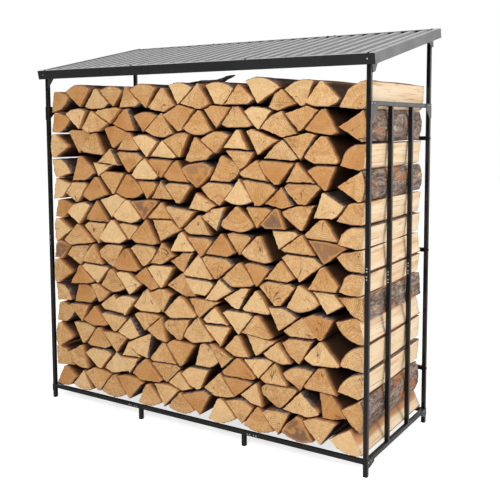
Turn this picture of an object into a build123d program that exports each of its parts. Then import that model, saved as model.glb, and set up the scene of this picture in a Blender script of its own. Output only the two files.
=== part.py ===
"""Log store: a lean-to steel rack of square tubes, full of split firewood.

The front faces -Y, the roof rises towards +Y, Z is up. The origin is the middle
of the overall box on the ground. Lengths are millimetres, angles are degrees.
"""
from build123d import *
from math import cos, hypot, pi, radians, sin
from random import Random
import os

# Frame tubes
frame_width = 1800.0
frame_depth = 705.0
tube = 19.0
tube_wall = 1.2
tube_corner = 1.8
leg_below_rail = 52.0
side_top_rail_height = 1532.0
back_rail_heights = {"low": 269.0, "middle": 843.0, "upper": 1372.0}
post_splice_height = 842.0
bars_per_side = 2
rail_splice_offset = 46.0
sleeve_length = 96.0
sleeve_wall = 1.2
fit_gap = 0.2

# Feet
foot_cap_thickness = 2.0
foot_plug_length = 12.0

# Roof
roof_slope = 12.4
fascia_above_side_rail = 139.0
fascia_height = 44.0
trim_sheet = 1.2
trim_flange = 30.0
front_overhang = 16.5
back_overhang = 51.5
side_overhang = 26.0
sheet_thickness = 0.8
rib_height = 10.0
rib_pitches = 28
rib_crest_share = 0.40
rib_valley_share = 0.32
sheet_edge_gap = 1.0

# Corner gusset plates
gusset_sheet = 2.0
gusset_reach = 52.0
gusset_drop = 48.0
foot_gusset_drop = 16.0
gusset_land = 6.0

# Firewood
courses = 14
courses_per_tier = 3
stack_above_side_rail = 76.2
logs_per_course = 16
log_past_course = 18.2
log_half_angle = 43.0
log_tip = 15.0
log_gap = 0.5
log_turn_spread = 9.0
inverted_log_lift = 12.0
rolled_log_share = 0.04
rolled_log_turn = 22.0
course_wave = 20.0
course_wave_length = 760.0
course_wave_drift = 0.5
course_ripple = 16.0
course_ripple_length = 350.0
course_ripple_start = 1.0
course_ripple_drift = -0.4
courses_to_full_wave = 4
courses_to_level_top = 3
stack_crest = 46.0
bark_steps = 6
bark_out_courses = {"left": (3, 6, 8, 12), "right": (2, 11, 13)}
bark_out_half_angle = 32.0
face_out_past_course = 2.2
face_out_leans = (1.0, 14.0)
bottom_face_out_lean = 28.0
log_front_inset = 2.0
log_front_spread = 24.0
log_back_gap = 6.0
log_back_spread = 28.0
bottom_log_bearing = 14.0
firewood_seed = 12

half_width = frame_width / 2
fascia_bottom = side_top_rail_height + fascia_above_side_rail
fascia_lean = fascia_height * sin(radians(roof_slope))
front_face = (front_overhang + fascia_lean - frame_depth - back_overhang) / 2
back_face = front_face + frame_depth
rail_bottom = leg_below_rail
rail_top = rail_bottom + tube
course_height = (side_top_rail_height + stack_above_side_rail - rail_top) / courses
log_radius = course_height + log_past_course
face_out_radius = course_height + face_out_past_course
inner_half = half_width - tube
middle_foot_x = frame_width / 6
rail_splice_x = middle_foot_x + rail_splice_offset
roof_half = half_width + side_overhang
roof_run = frame_depth + front_overhang + back_overhang
roof_length = roof_run / cos(radians(roof_slope))
sheet_top = fascia_height - trim_sheet
sheet_bottom = sheet_top - rib_height - sheet_thickness
roof_tube_bottom = sheet_bottom - tube
roof_frame = Pos(0, front_face - front_overhang, fascia_bottom) * Rot(roof_slope, 0, 0)
sides = {"left": -1, "right": 1}
ends = {"front": front_face + tube / 2, "back": back_face - tube / 2}

os.makedirs("parts", exist_ok=True)


def save(name, solids):
    """Write one sub-part, made of one or more solids."""
    pieces = [piece.solid() for piece in solids]
    shape = pieces[0] if len(pieces) == 1 else Compound(children=pieces)
    shape.label = name
    export_step(shape, f"parts/{name}.step")


def square_section(side):
    """Square with its corners taken off, as on a rolled tube."""
    square = Rectangle(side, side)
    return chamfer(square.vertices(), tube_corner)


def tube_section():
    bore = tube - 2 * tube_wall
    return square_section(tube) - Rectangle(bore, bore)


def tube_up(x, y, bottom, top):
    """Square tube standing on its lower end."""
    return Pos(x, y, bottom) * extrude(tube_section(), top - bottom)


def tube_across(y, z, start, end):
    """Square tube along X."""
    run = extrude(tube_section(), end - start)
    return Pos(start, y, z) * Rot(0, 90, 0) * run


def tube_along(x, z, start, end):
    """Square tube along Y."""
    run = extrude(tube_section(), end - start)
    return Pos(x, start, z) * Rot(-90, 0, 0) * run


def sleeve():
    """Inner sleeve that joins two tube lengths, along Z, its middle at the joint."""
    outside = tube - 2 * tube_wall - 2 * fit_gap
    bore = outside - 2 * sleeve_wall
    section = Rectangle(outside, outside) - Rectangle(bore, bore)
    return Pos(0, 0, -sleeve_length / 2) * extrude(section, sleeve_length)


def above_roof_tubes():
    """Block that cuts the posts to the slope of the roof tubes."""
    deep = 2 * roof_length
    return roof_frame * Pos(0, 0, roof_tube_bottom + deep / 2) * Box(3 * frame_width, 2 * deep, deep)


def post_halves(x, y):
    """Corner post in two lengths that butt at the splice, the top cut to the slope."""
    tall = fascia_bottom + roof_run
    lower = tube_up(x, y, foot_cap_thickness, post_splice_height)
    upper = tube_up(x, y, post_splice_height, tall) - above_roof_tubes()
    return lower, upper


def foot_cap(x, y):
    """Plastic cap with a plug inside the tube."""
    plug = tube - 2 * tube_wall - 2 * fit_gap
    pad = extrude(square_section(tube), foot_cap_thickness)
    spigot = Pos(0, 0, foot_cap_thickness) * extrude(Rectangle(plug, plug), foot_plug_length)
    return Pos(x, y, 0) * (pad + spigot)


def make_posts():
    for side, sign in sides.items():
        for end, y in ends.items():
            x = sign * (half_width - tube / 2)
            lower, upper = post_halves(x, y)
            save(f"{end}_{side}_post_lower", [lower])
            save(f"{end}_{side}_post_upper", [upper])


def bar_places():
    """Y of each upright bar of a side, evenly spaced between the posts."""
    return [front_face + frame_depth * (i + 1) / (bars_per_side + 1) for i in range(bars_per_side)]


def bar_splice_height():
    return (rail_top + side_top_rail_height - tube) / 2


def make_side_frames():
    for side, sign in sides.items():
        x = sign * (half_width - tube / 2)
        start = front_face + tube
        end = back_face - tube
        save(f"{side}_bottom_rail", [tube_along(x, rail_bottom + tube / 2, start, end)])
        save(f"{side}_top_rail", [tube_along(x, side_top_rail_height - tube / 2, start, end)])
        joint = bar_splice_height()
        for number, y in enumerate(bar_places(), 1):
            lower = tube_up(x, y, rail_top, joint)
            upper = tube_up(x, y, joint, side_top_rail_height - tube)
            save(f"{side}_bar_{number}", [lower, upper])


def make_long_rails():
    """Bottom rails in three lengths, the middle one on two short feet."""
    z = rail_bottom + tube / 2
    for end, y in ends.items():
        save(f"{end}_bottom_rail_left", [tube_across(y, z, -inner_half, -rail_splice_x)])
        save(f"{end}_bottom_rail_right", [tube_across(y, z, rail_splice_x, inner_half)])
        save(f"{end}_bottom_rail_middle", [tube_across(y, z, -rail_splice_x, rail_splice_x)])
        feet = [tube_up(x, y, foot_cap_thickness, rail_bottom) for x in (-middle_foot_x, middle_foot_x)]
        save(f"{end}_middle_feet", feet)


def make_back_rails():
    for name, height in back_rail_heights.items():
        save(f"back_rail_{name}", [tube_across(ends["back"], height, -inner_half, inner_half)])


def make_sleeves():
    bars = []
    posts = []
    rails = []
    for sign in sides.values():
        x = sign * (half_width - tube / 2)
        posts += [Pos(x, y, post_splice_height) * sleeve() for y in ends.values()]
        bars += [Pos(x, y, bar_splice_height()) * sleeve() for y in bar_places()]
        z = rail_bottom + tube / 2
        rails += [Pos(sign * rail_splice_x, y, z) * Rot(0, 90, 0) * sleeve() for y in ends.values()]
    save("splice_sleeves", posts + bars + rails)


def make_foot_caps():
    corner_x = half_width - tube / 2
    places = [(x, y) for x in (-corner_x, -middle_foot_x, middle_foot_x, corner_x) for y in ends.values()]
    save("foot_caps", [foot_cap(x, y) for x, y in places])


def make_roof_frame():
    """Two sloping tubes on the posts and a tube across at each end."""
    z = roof_tube_bottom + tube / 2
    start = trim_sheet + sheet_edge_gap
    end = roof_length - start
    for side, sign in sides.items():
        x = sign * (half_width - tube / 2)
        save(f"{side}_roof_tube", [roof_frame * tube_along(x, z, start, end)])
    save("front_roof_rail", [roof_frame * tube_across(start + tube / 2, z, -inner_half, inner_half)])
    save("back_roof_rail", [roof_frame * tube_across(end - tube / 2, z, -inner_half, inner_half)])


def corrugated_section():
    """Ribbed sheet section: crest, slope, valley, slope for each pitch."""
    half = roof_half - trim_sheet - sheet_edge_gap
    pitch = 2 * roof_half / rib_pitches
    crest = rib_crest_share * pitch / 2
    foot = pitch / 2 - rib_valley_share * pitch / 2
    top = []
    for i in range(rib_pitches // 2 + 1):
        middle = i * pitch
        top += [(middle - foot, 0), (middle - crest, 1), (middle + crest, 1), (middle + foot, 0)]
    right = [(x, level * rib_height) for x, level in top if 0 < x < half]
    level_at_edge = 1 if half > (rib_pitches // 2) * pitch - crest else 0
    right.append((half, level_at_edge * rib_height))
    left = [(-x, z) for x, z in reversed(right)]
    upper = [(x, z + sheet_thickness) for x, z in left + right]
    lower = [(x, z) for x, z in reversed(left + right)]
    return Polyline(*upper, *lower, close=True)


def make_roof_sheet():
    start = trim_sheet + sheet_edge_gap
    section = Plane.XZ * make_face(corrugated_section())
    sheet = extrude(section, -(roof_length - 2 * start))
    save("roof_sheet", [roof_frame * Pos(0, start, sheet_bottom) * sheet])


def edge_angle(leg_run, flange_run):
    """Angle along X with its outer top edge on the X axis, the flange towards +Y."""
    drop = fascia_height - trim_sheet
    leg = Pos(0, trim_sheet / 2, -trim_sheet - drop / 2) * Box(leg_run, trim_sheet, drop)
    flange = Pos(0, trim_flange / 2, -trim_sheet / 2) * Box(flange_run, trim_flange, trim_sheet)
    return leg + flange


def make_trims():
    """Edge angles: side trims run through, front and back ones fit between them."""
    middle = roof_frame * Pos(0, roof_length / 2, fascia_height)
    along = edge_angle(roof_length, roof_length)
    for side, sign in sides.items():
        save(f"{side}_trim", [middle * Rot(0, 0, sign * 90) * Pos(0, -roof_half, 0) * along])
    across = edge_angle(2 * (roof_half - trim_sheet), 2 * (roof_half - trim_flange))
    for end, turn in (("front", 0), ("back", 180)):
        save(f"{end}_trim", [middle * Rot(0, 0, turn) * Pos(0, -roof_length / 2, 0) * across])


def gusset_outline(drop):
    """Plate on the outer faces of a post and a rail: corner at the origin, rail along +X."""
    reach = tube + gusset_reach
    low = tube + drop
    points = [(0, 0), (reach, 0), (reach, -tube - gusset_land), (tube + gusset_land, -low), (0, -low)]
    return make_face(Polyline(*points, close=True))


def gusset(sign, end, height, drop, slope):
    """Gusset of one corner; the height is that of the rail's top at the post's outer edge."""
    plate = extrude(Plane.YZ * gusset_outline(drop), gusset_sheet)
    plate = Rot(slope, 0, 0) * plate
    y = front_face
    if end == "back":
        plate = mirror(plate, about=Plane.XZ)
        y = back_face
    x = half_width if sign > 0 else -half_width - gusset_sheet
    return Pos(x, y, height) * plate


def roof_tube_top(y):
    """Height of the top of the roof tubes at a given Y."""
    along = (y - front_face + front_overhang) - sheet_bottom * -sin(radians(roof_slope))
    rise = along * sin(radians(roof_slope)) / cos(radians(roof_slope))
    return fascia_bottom + rise + sheet_bottom * cos(radians(roof_slope))


def make_gussets():
    for side, sign in sides.items():
        plates = []
        for end in ends:
            y = front_face if end == "front" else back_face
            slope = roof_slope if end == "front" else -roof_slope
            plates.append(gusset(sign, end, side_top_rail_height, gusset_drop, 0))
            plates.append(gusset(sign, end, rail_top, foot_gusset_drop, 0))
            plates.append(gusset(sign, end, roof_tube_top(y), gusset_drop, slope))
        save(f"{side}_gussets", plates)


def trim(outline, normal, limit):
    """Part of a convex outline on the near side of a straight line."""
    kept = []
    for (ax, az), (bx, bz) in zip(outline, outline[1:] + outline[:1]):
        past_a = ax * normal[0] + az * normal[1] - limit
        past_b = bx * normal[0] + bz * normal[1] - limit
        if past_a <= 0:
            kept.append((ax, az))
        if past_a * past_b < 0:
            share = past_a / (past_a - past_b)
            kept.append((ax + share * (bx - ax), az + share * (bz - az)))
    return kept


def side_normals(outline):
    """Outward normals of the sides of an anticlockwise outline, tiny sides left out."""
    for (ax, az), (bx, bz) in zip(outline, outline[1:] + outline[:1]):
        length = hypot(bx - ax, bz - az)
        if length > log_tip / 3:
            yield ((bz - az) / length, (ax - bx) / length)


class Log:
    """Split log seen end on: a wedge with a blunt tip and bark on its far side."""

    def __init__(self, x, z, radius, half_angle, turn):
        """The tip is at x, z; the bark faces down before the anticlockwise turn."""
        c = cos(radians(turn))
        s = sin(radians(turn))
        wedge = [(log_tip / 2, 0), (-log_tip / 2, 0)]
        for i in range(bark_steps + 1):
            share = 2 * i / bark_steps - 1
            angle = radians(half_angle * share)
            wedge.append((radius * sin(angle) + share * log_tip / 2, -radius * cos(angle)))
        self.outline = [(x + a * c - b * s, z + a * s + b * c) for a, b in wedge]

    def shift(self, dx):
        self.outline = [(x + dx, z) for x, z in self.outline]

    def trim(self, normal, limit):
        self.outline = trim(self.outline, normal, limit)

    def middle(self):
        count = len(self.outline)
        return sum(x for x, z in self.outline) / count, sum(z for x, z in self.outline) / count

    def solid(self, front, back):
        section = Plane.XZ * make_face(Polyline(*self.outline, close=True))
        return Pos(0, front, 0) * extrude(section, -(back - front))


def press(first, second):
    """Where two logs overlap, cut both flat along the line of least overlap."""
    normals = list(side_normals(first.outline))
    normals += [(-x, -z) for x, z in side_normals(second.outline)]
    least = None
    for x, z in normals:
        high = max(px * x + pz * z for px, pz in first.outline)
        low = min(px * x + pz * z for px, pz in second.outline)
        depth = high - low + log_gap
        if depth <= 0:
            return
        if least is None or depth < least[0]:
            least = (depth, (x, z), (high + low) / 2)
    _, (x, z), middle = least
    first.trim((x, z), middle - log_gap / 2)
    second.trim((-x, -z), -middle - log_gap / 2)


def course_rise(x, course):
    """Sag and swell of a course; none on the rails and at the top."""
    share = min(1, course / courses_to_full_wave, (courses - course) / courses_to_level_top)
    wave = sin(2 * pi * x / course_wave_length + course_wave_drift * course)
    ripple_phase = course_ripple_start + course_ripple_drift * course
    ripple = sin(2 * pi * x / course_ripple_length + ripple_phase)
    return share * (course_wave * wave + course_ripple * ripple)


def new_log(rng, x, z, inverted):
    """Upright log with its bark down, or inverted with its bark up."""
    radius = log_radius * rng.uniform(0.92, 1.07)
    half_angle = log_half_angle * rng.uniform(0.84, 1.12)
    turn = rng.gauss(0, log_turn_spread)
    if rng.random() < rolled_log_share:
        turn += rng.choice((-rolled_log_turn, rolled_log_turn))
    if inverted:
        return Log(x, z + inverted_log_lift, radius, half_angle, 180 + turn)
    return Log(x, z + radius, radius, half_angle, turn)


def end_log(rng, side, course, z, inverted):
    """Log at the end of a course, its bark or a split face against the bars."""
    sign = sides[side]
    if course in bark_out_courses[side]:
        radius = log_radius * rng.uniform(0.95, 1.05)
        log = Log(0, z + course_height / 2, radius, bark_out_half_angle, sign * 90)
    elif course == 1:
        turn = sign * (bottom_face_out_lean - log_half_angle)
        log = Log(0, z + face_out_radius, face_out_radius, log_half_angle, turn)
    else:
        radius = face_out_radius * rng.uniform(0.97, 1.05)
        turn = sign * (rng.uniform(*face_out_leans) - log_half_angle)
        tip, turn = (z, 180 - turn) if inverted else (z + radius, turn)
        log = Log(0, tip, radius, log_half_angle, turn)
    log.shift(sign * (inner_half - log_gap - max(sign * x for x, z in log.outline)))
    return log


def stack_logs(rng):
    """Courses of logs, upright and inverted in turn, the end ones against the side bars."""
    half = inner_half - log_gap
    pitch = 2 * (half - log_radius * sin(radians(log_half_angle))) / (logs_per_course - 1)
    top = rail_top + courses * course_height + stack_crest
    bounds = (((1, 0), half), ((-1, 0), half), ((0, -1), -rail_top - log_gap / 2), ((0, 1), top))
    logs = []
    for course in range(1, courses + 1):
        first_inverted = rng.random() < 0.5
        for i in range(logs_per_course):
            x = (i - (logs_per_course - 1) / 2) * pitch + rng.uniform(-0.09, 0.09) * pitch
            z = rail_top + (course - 1) * course_height + course_rise(x, course - 1)
            inverted = (i % 2 == 1) != first_inverted
            if i in (0, logs_per_course - 1):
                log = end_log(rng, "left" if i == 0 else "right", course, z, inverted)
            else:
                log = new_log(rng, x, z, inverted)
            for normal, limit in bounds:
                log.trim(normal, limit)
            log.course = course
            logs.append(log)
    return logs


def press_all(logs):
    """Press each pair of neighbours together, nearest first."""
    middles = [log.middle() for log in logs]
    pairs = []
    for i, (ax, az) in enumerate(middles):
        for j in range(i):
            distance = hypot(middles[j][0] - ax, middles[j][1] - az)
            if distance < 2.2 * log_radius:
                pairs.append((distance, i, j))
    for _, i, j in sorted(pairs):
        press(logs[i], logs[j])


def make_firewood():
    rng = Random(firewood_seed)
    logs = stack_logs(rng)
    press_all(logs)
    tiers = {}
    for log in logs:
        front = front_face + log_front_inset + log_front_spread * rng.random() ** 2
        back = back_face - tube - log_back_gap - log_back_spread * rng.random()
        if log.course == 1:
            front = front_face + log_front_inset + log_front_spread * rng.random() / 4
            back = back_face - tube + bottom_log_bearing
        tier = (log.course - 1) // courses_per_tier + 1
        tiers.setdefault(tier, []).append(log.solid(front, back))
    for tier, solids in tiers.items():
        save(f"firewood_tier_{tier}", solids)


def main():
    make_posts()
    make_side_frames()
    make_long_rails()
    make_back_rails()
    make_sleeves()
    make_foot_caps()
    make_roof_frame()
    make_roof_sheet()
    make_trims()
    make_gussets()
    make_firewood()


main()
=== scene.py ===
import bpy
import numpy as np
from math import cos, pi, radians, sin
from mathutils import Matrix, Vector


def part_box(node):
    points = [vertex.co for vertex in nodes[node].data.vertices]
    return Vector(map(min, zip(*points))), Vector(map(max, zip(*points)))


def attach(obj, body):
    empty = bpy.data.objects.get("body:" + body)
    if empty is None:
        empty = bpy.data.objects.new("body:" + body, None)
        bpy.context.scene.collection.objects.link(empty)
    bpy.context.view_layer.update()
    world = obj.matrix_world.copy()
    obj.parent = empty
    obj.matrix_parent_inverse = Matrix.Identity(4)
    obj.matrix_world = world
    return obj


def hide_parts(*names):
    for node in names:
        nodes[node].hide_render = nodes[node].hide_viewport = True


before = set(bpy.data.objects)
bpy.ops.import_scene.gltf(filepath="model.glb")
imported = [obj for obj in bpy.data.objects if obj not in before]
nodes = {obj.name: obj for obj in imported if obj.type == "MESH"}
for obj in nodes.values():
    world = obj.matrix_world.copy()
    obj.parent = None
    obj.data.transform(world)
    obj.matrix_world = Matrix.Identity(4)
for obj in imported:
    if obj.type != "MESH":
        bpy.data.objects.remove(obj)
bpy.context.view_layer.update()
print("frame loaded:", len(nodes), "nodes")


# helpers for shader nodes

def paint(red, green, blue):
    # a colour as it reads on a screen, 0 to 255, as a linear colour
    channels = np.array([red, green, blue]) / 255
    linear = np.where(channels < 0.04045, channels / 12.92, ((channels + 0.055) / 1.055) ** 2.4)
    return (*linear.tolist(), 1)


def shader(tree, kind, inputs=None, **settings):
    # one shader node, its settings and its input values or links
    made = tree.nodes.new("ShaderNode" + kind)
    for name, value in settings.items():
        setattr(made, name, value)
    for name, value in (inputs or {}).items():
        if isinstance(value, bpy.types.NodeSocket):
            tree.links.new(value, made.inputs[name])
        else:
            made.inputs[name].default_value = value
    return made


def calc(tree, operation, first, second=0.0, third=0.0):
    return shader(tree, "Math", {0: first, 1: second, 2: third}, operation=operation).outputs[0]


def times(tree, first, second):
    return calc(tree, "MULTIPLY", first, second)


def band(tree, value, low, high, outLow=0.0, outHigh=1.0):
    # smooth step from low to high
    inputs = {"Value": value, "From Min": low, "From Max": high, "To Min": outLow, "To Max": outHigh}
    return shader(tree, "MapRange", inputs, interpolation_type="SMOOTHSTEP").outputs[0]


def join(tree, x=0.0, y=0.0, z=0.0):
    return shader(tree, "CombineXYZ", {"X": x, "Y": y, "Z": z}).outputs[0]


def axesOf(tree, vector):
    return shader(tree, "SeparateXYZ", {0: vector}).outputs


def stretch(tree, vector, factors):
    return shader(tree, "VectorMath", {0: vector, 1: factors}, operation="MULTIPLY").outputs[0]


def seeded(tree, place, seed):
    # the place moved by the seed, so that no two logs show the same noise
    shift = join(tree, seed, seed, seed)
    return shader(tree, "VectorMath", {0: place, 1: shift}, operation="ADD").outputs[0]


def noise(tree, vector, look):
    # noise as its look says: "drawn" below 1 draws it out along the log, "edge" makes it a mask
    if "drawn" in look:
        vector = stretch(tree, vector, (1, 1, look["drawn"]))
    inputs = {"Vector": vector, "Scale": look["scale"], "Detail": look.get("detail", 3.0),
              "Roughness": look.get("roughness", 0.55), "Distortion": look.get("distortion", 0.0)}
    value = shader(tree, "TexNoise", inputs).outputs["Fac"]
    return band(tree, value, *look["edge"]) if "edge" in look else value


def cells(tree, vector, look):
    # distance from the middle of the nearest cell, and a mask of the few cells that are taken
    drawnOut = stretch(tree, vector, (1, 1, look["drawn"]))
    made = shader(tree, "TexVoronoi", {"Vector": drawnOut, "Scale": look["scale"]})
    random = shader(tree, "SeparateColor", {0: made.outputs["Color"]}).outputs[look["channel"]]
    return made.outputs["Distance"], band(tree, random, *look["taken"])


def blend(tree, share, first, second):
    # colour mixed from first to second: sockets 0, 6 and 7 are the factor and the two colours
    return shader(tree, "Mix", {0: share, 6: first, 7: second}, data_type="RGBA").outputs[2]


def tint(tree, colour, target, mask, share):
    # the target colour laid over the colour where the mask is 1, by the share
    return blend(tree, times(tree, mask, share), colour, target)


def ramp(tree, value, stops):
    made = shader(tree, "ValToRGB", {"Fac": value})
    elements = made.color_ramp.elements
    while len(elements) < len(stops):
        elements.new(0.5)
    for element, (place, colour) in zip(elements, stops):
        element.position = place
        element.color = colour
    return made.outputs["Color"]


def bump(tree, height, strength, distance):
    inputs = {"Height": height, "Strength": strength, "Distance": distance}
    return shader(tree, "Bump", inputs).outputs["Normal"]


def finishMaterial(name, settings):
    # a new material with one Principled shader, its plain values on the sockets
    material = bpy.data.materials.new(name)
    material.use_nodes = True
    tree = material.node_tree
    surface = tree.nodes["Principled BSDF"]
    for socket, value in settings.items():
        surface.inputs[socket].default_value = value
    return material, tree, surface


def feed(tree, surface, colour, roughness, normal):
    for socket, value in (("Base Color", colour), ("Roughness", roughness), ("Normal", normal)):
        tree.links.new(value, surface.inputs[socket])


def newGroup(name, inputs, outputs):
    # an empty node group with named sockets
    tree = bpy.data.node_groups.new(name, "ShaderNodeTree")
    for direction, sockets in (("INPUT", inputs), ("OUTPUT", outputs)):
        for label, kind in sockets:
            tree.interface.new_socket(label, in_out=direction, socket_type="NodeSocket" + kind)
    given = tree.nodes.new("NodeGroupInput")
    result = tree.nodes.new("NodeGroupOutput")
    return tree, given.outputs, result.inputs


def useGroup(tree, group, inputs):
    return shader(tree, "Group", inputs, node_tree=group).outputs


# effects that more than one material uses; noise scales are in cells to a metre

fibreLook = {"Fine": {"drawn": 0.035, "scale": 330, "detail": 4, "roughness": 0.65},
             "Broad": {"drawn": 0.09, "scale": 38, "roughness": 0.5, "distortion": 0.4},
             "Lines": {"drawn": 0.02, "scale": 150, "detail": 2, "roughness": 0.5, "edge": (0.60, 0.72)}}
wearLook = {"clouds": {"scale": 9, "detail": 4, "roughness": 0.6},
            "texture": {"scale": 900, "detail": 2, "roughness": 0.5},
            "facingUp": (0.2, 0.95), "dustAndSheenPatches": (0.35, 0.75, 0.72, 1.0), "dullPatches": (0.3, 0.7)}


def makeFibre(look):
    # long thin streaks: noise squeezed across the log and drawn out along it
    tree, given, result = newGroup("woodFibre", [("Place", "Vector"), ("Seed", "Float")],
                                   [(label, "Float") for label in look])
    moved = seeded(tree, given["Place"], given["Seed"])
    for label, streaks in look.items():
        tree.links.new(noise(tree, moved, streaks), result[label])
    return tree


def makeCoatWear(look):
    # fine texture of a sprayed coat, cloudy dulling, and dust with a painted sheen that lightens what faces
    # up
    tree, given, result = newGroup("coatWear", [("Place", "Vector"), ("DustAndSheenAmount", "Float")],
                                   [("Dull", "Float"), ("DustAndSheenMask", "Float"), ("Texture", "Float")])
    up = axesOf(tree, shader(tree, "NewGeometry").outputs["Normal"])["Z"]
    clouds = noise(tree, given["Place"], look["clouds"])
    dustAndSheenMask = times(tree, band(tree, up, *look["facingUp"]), band(tree, clouds, *look["dustAndSheenPatches"]))
    tree.links.new(band(tree, clouds, *look["dullPatches"]), result["Dull"])
    tree.links.new(times(tree, dustAndSheenMask, given["DustAndSheenAmount"]), result["DustAndSheenMask"])
    tree.links.new(noise(tree, given["Place"], look["texture"]), result["Texture"])
    return tree


woodFibre = makeFibre(fibreLook)
coatWear = makeCoatWear(wearLook)


# steel and plastic; a grain is the strength and the depth of the bump

steelCoat = {"colour": paint(11, 12, 13), "dull": paint(18, 19, 20), "dustAndSheen": paint(96, 94, 91),
             "dustAndSheenShare": 0.10, "roughness": (0.24, 0.36), "grain": (0.5, 0.00012), "ior": 1.38}
# on the roof and its sheet the pale layer on what faces up is dust and a painted sheen
roofCoat = {"colour": paint(17, 18, 19), "dull": paint(25, 26, 27), "dustAndSheen": paint(150, 149, 147),
            "dustAndSheenShare": 0.36, "roughness": (0.18, 0.28), "grain": (0.5, 0.00003), "ior": 1.5}
sheetCoat = {"colour": paint(64, 65, 67), "dull": paint(76, 77, 79), "dustAndSheen": paint(156, 155, 153),
             "dustAndSheenShare": 0.55, "roughness": (0.20, 0.30), "grain": (0.5, 0.00003), "ior": 1.5}
footCoat = {"colour": paint(24, 24, 25), "dull": paint(34, 34, 35), "dustAndSheen": paint(110, 104, 96),
            "dustAndSheenShare": 0.2, "roughness": (0.45, 0.6), "grain": (0.5, 0.00025), "ior": 1.5}
zincCoat = {"colour": paint(196, 198, 200), "dull": paint(150, 152, 154), "metallic": 0.9, "spangle": 420,
            "film": {"scale": 60, "detail": 4, "roughness": 0.6}, "roughness": (0.3, 0.7, 0.26, 0.5),
            "grain": (0.4, 0.00010)}


def makeCoat(name, look):
    material, tree, surface = finishMaterial(name, {"IOR": look["ior"]})
    place = shader(tree, "TexCoord").outputs["Object"]
    wear = useGroup(tree, coatWear, {"Place": place, "DustAndSheenAmount": look["dustAndSheenShare"]})
    colour = blend(tree, wear["Dull"], look["colour"], look["dull"])
    # dust and painted sheen: a pale layer laid over faces that look up
    colour = blend(tree, wear["DustAndSheenMask"], colour, look["dustAndSheen"])
    rough = band(tree, wear["Dull"], 0, 1, *look["roughness"])
    feed(tree, surface, colour, rough, bump(tree, wear["Texture"], *look["grain"]))
    return material


def makeZinc(name, look):
    material, tree, surface = finishMaterial(name, {"Metallic": look["metallic"]})
    place = shader(tree, "TexCoord").outputs["Object"]
    crystals = shader(tree, "TexVoronoi", {"Vector": place, "Scale": look["spangle"]}).outputs["Color"]
    grey = shader(tree, "SeparateColor", {0: crystals}).outputs["Red"]
    film = noise(tree, place, look["film"])
    colour = blend(tree, times(tree, grey, film), look["colour"], look["dull"])
    feed(tree, surface, colour, band(tree, film, *look["roughness"]), bump(tree, grey, *look["grain"]))
    return material


frameSteel = makeCoat("frameSteel", steelCoat)
roofSteel = makeCoat("roofSteel", roofCoat)
sheetSteel = makeCoat("sheetSteel", sheetCoat)
footPlastic = makeCoat("footPlastic", footCoat)
zinc = makeZinc("zinc", zincCoat)


# firewood materials; "cover" is how strongly a layer hides the wood under it

edgeLook = {"wander": {"scale": 140}, "reach": 0.003, "innerSoft": 0.72, "outerSoft": 0.75,
            "innerCover": 0.75}
endLook = {
    "pale": paint(240, 206, 152), "ochre": paint(214, 164, 102), "amber": paint(186, 124, 62),
    "ringDark": paint(158, 104, 54), "crack": paint(70, 42, 22), "stain": paint(92, 78, 70),
    "bark": paint(66, 42, 30), "innerBark": paint(150, 90, 54), "frayAndHighlight": paint(246, 218, 170), "ior": 1.42,
    "barkWidth": 0.0048, "innerWidth": 0.0078, "ochreTone": 0.35, "paleOutside": (0.05, 0.105, 0.0, 0.55),
    "bend": {"scale": 16, "detail": 2}, "bendReach": 0.012, "ringSpacing": (0.0052, 0.0092),
    "ringEdge": (0.1, 1.0), "ringCover": (0.1, 0.9, 0.22, 0.60),
    "belts": {"scale": 55, "detail": 2, "edge": (0.45, 0.7)}, "beltCover": 0.40,
    "rays": {"scale": 26, "roughness": 0.6, "edge": (0.50, 0.68)}, "rayCover": 0.55, "rayTwist": 3,
    "cracks": {"scale": 1.7, "detail": 1.5}, "crackWidth": (0.0, 0.11, 0.015, 0.003),
    "crackEdge": (1.0, 0.3), "crackChance": {"scale": 9, "detail": 1, "edge": (0.46, 0.54)},
    "crackCover": 0.85,
    "mottle": {"scale": 26, "detail": 5, "roughness": 0.68, "edge": (0.35, 0.66)}, "mottleCover": 0.8,
    "blotches": {"scale": 60, "detail": 4, "roughness": 0.7, "edge": (0.50, 0.70)}, "blotchCover": 0.60,
    "grit": {"scale": 230, "roughness": 0.6}, "gritDark": (0.50, 0.68, 0.0, 0.55),
    "gritPale": (0.48, 0.32, 0.0, 0.45), "lowTone": (0.34, 0.04, 0.0, 0.55),
    "highTone": (0.55, 0.95, 0.0, 0.55),
    "frayedHighlightRim": {"scale": 90, "edge": (0.40, 0.55)}, "frayHighlightWidth": (0.05, 0.0), "frayHighlightCover": 0.7,
    "stains": {"scale": 22, "detail": 4, "edge": (0.38, 0.52)}, "stainTone": (0.035, 0.015),
    "stainRim": (0.02, 0.30), "stainCover": 0.8,
    "saw": {"scale": 420, "detail": 2, "roughness": 0.6}, "sawDrawn": 0.06, "sawEdge": (0.42, 0.62),
    "sawCover": (0.8, 0.3, 0.0, 0.32), "roughness": (0.2, 0.8, 0.62, 0.82), "ringRelief": 0.35,
    "crackRelief": -6.0, "grain": (0.55, 0.0007)}
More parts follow.
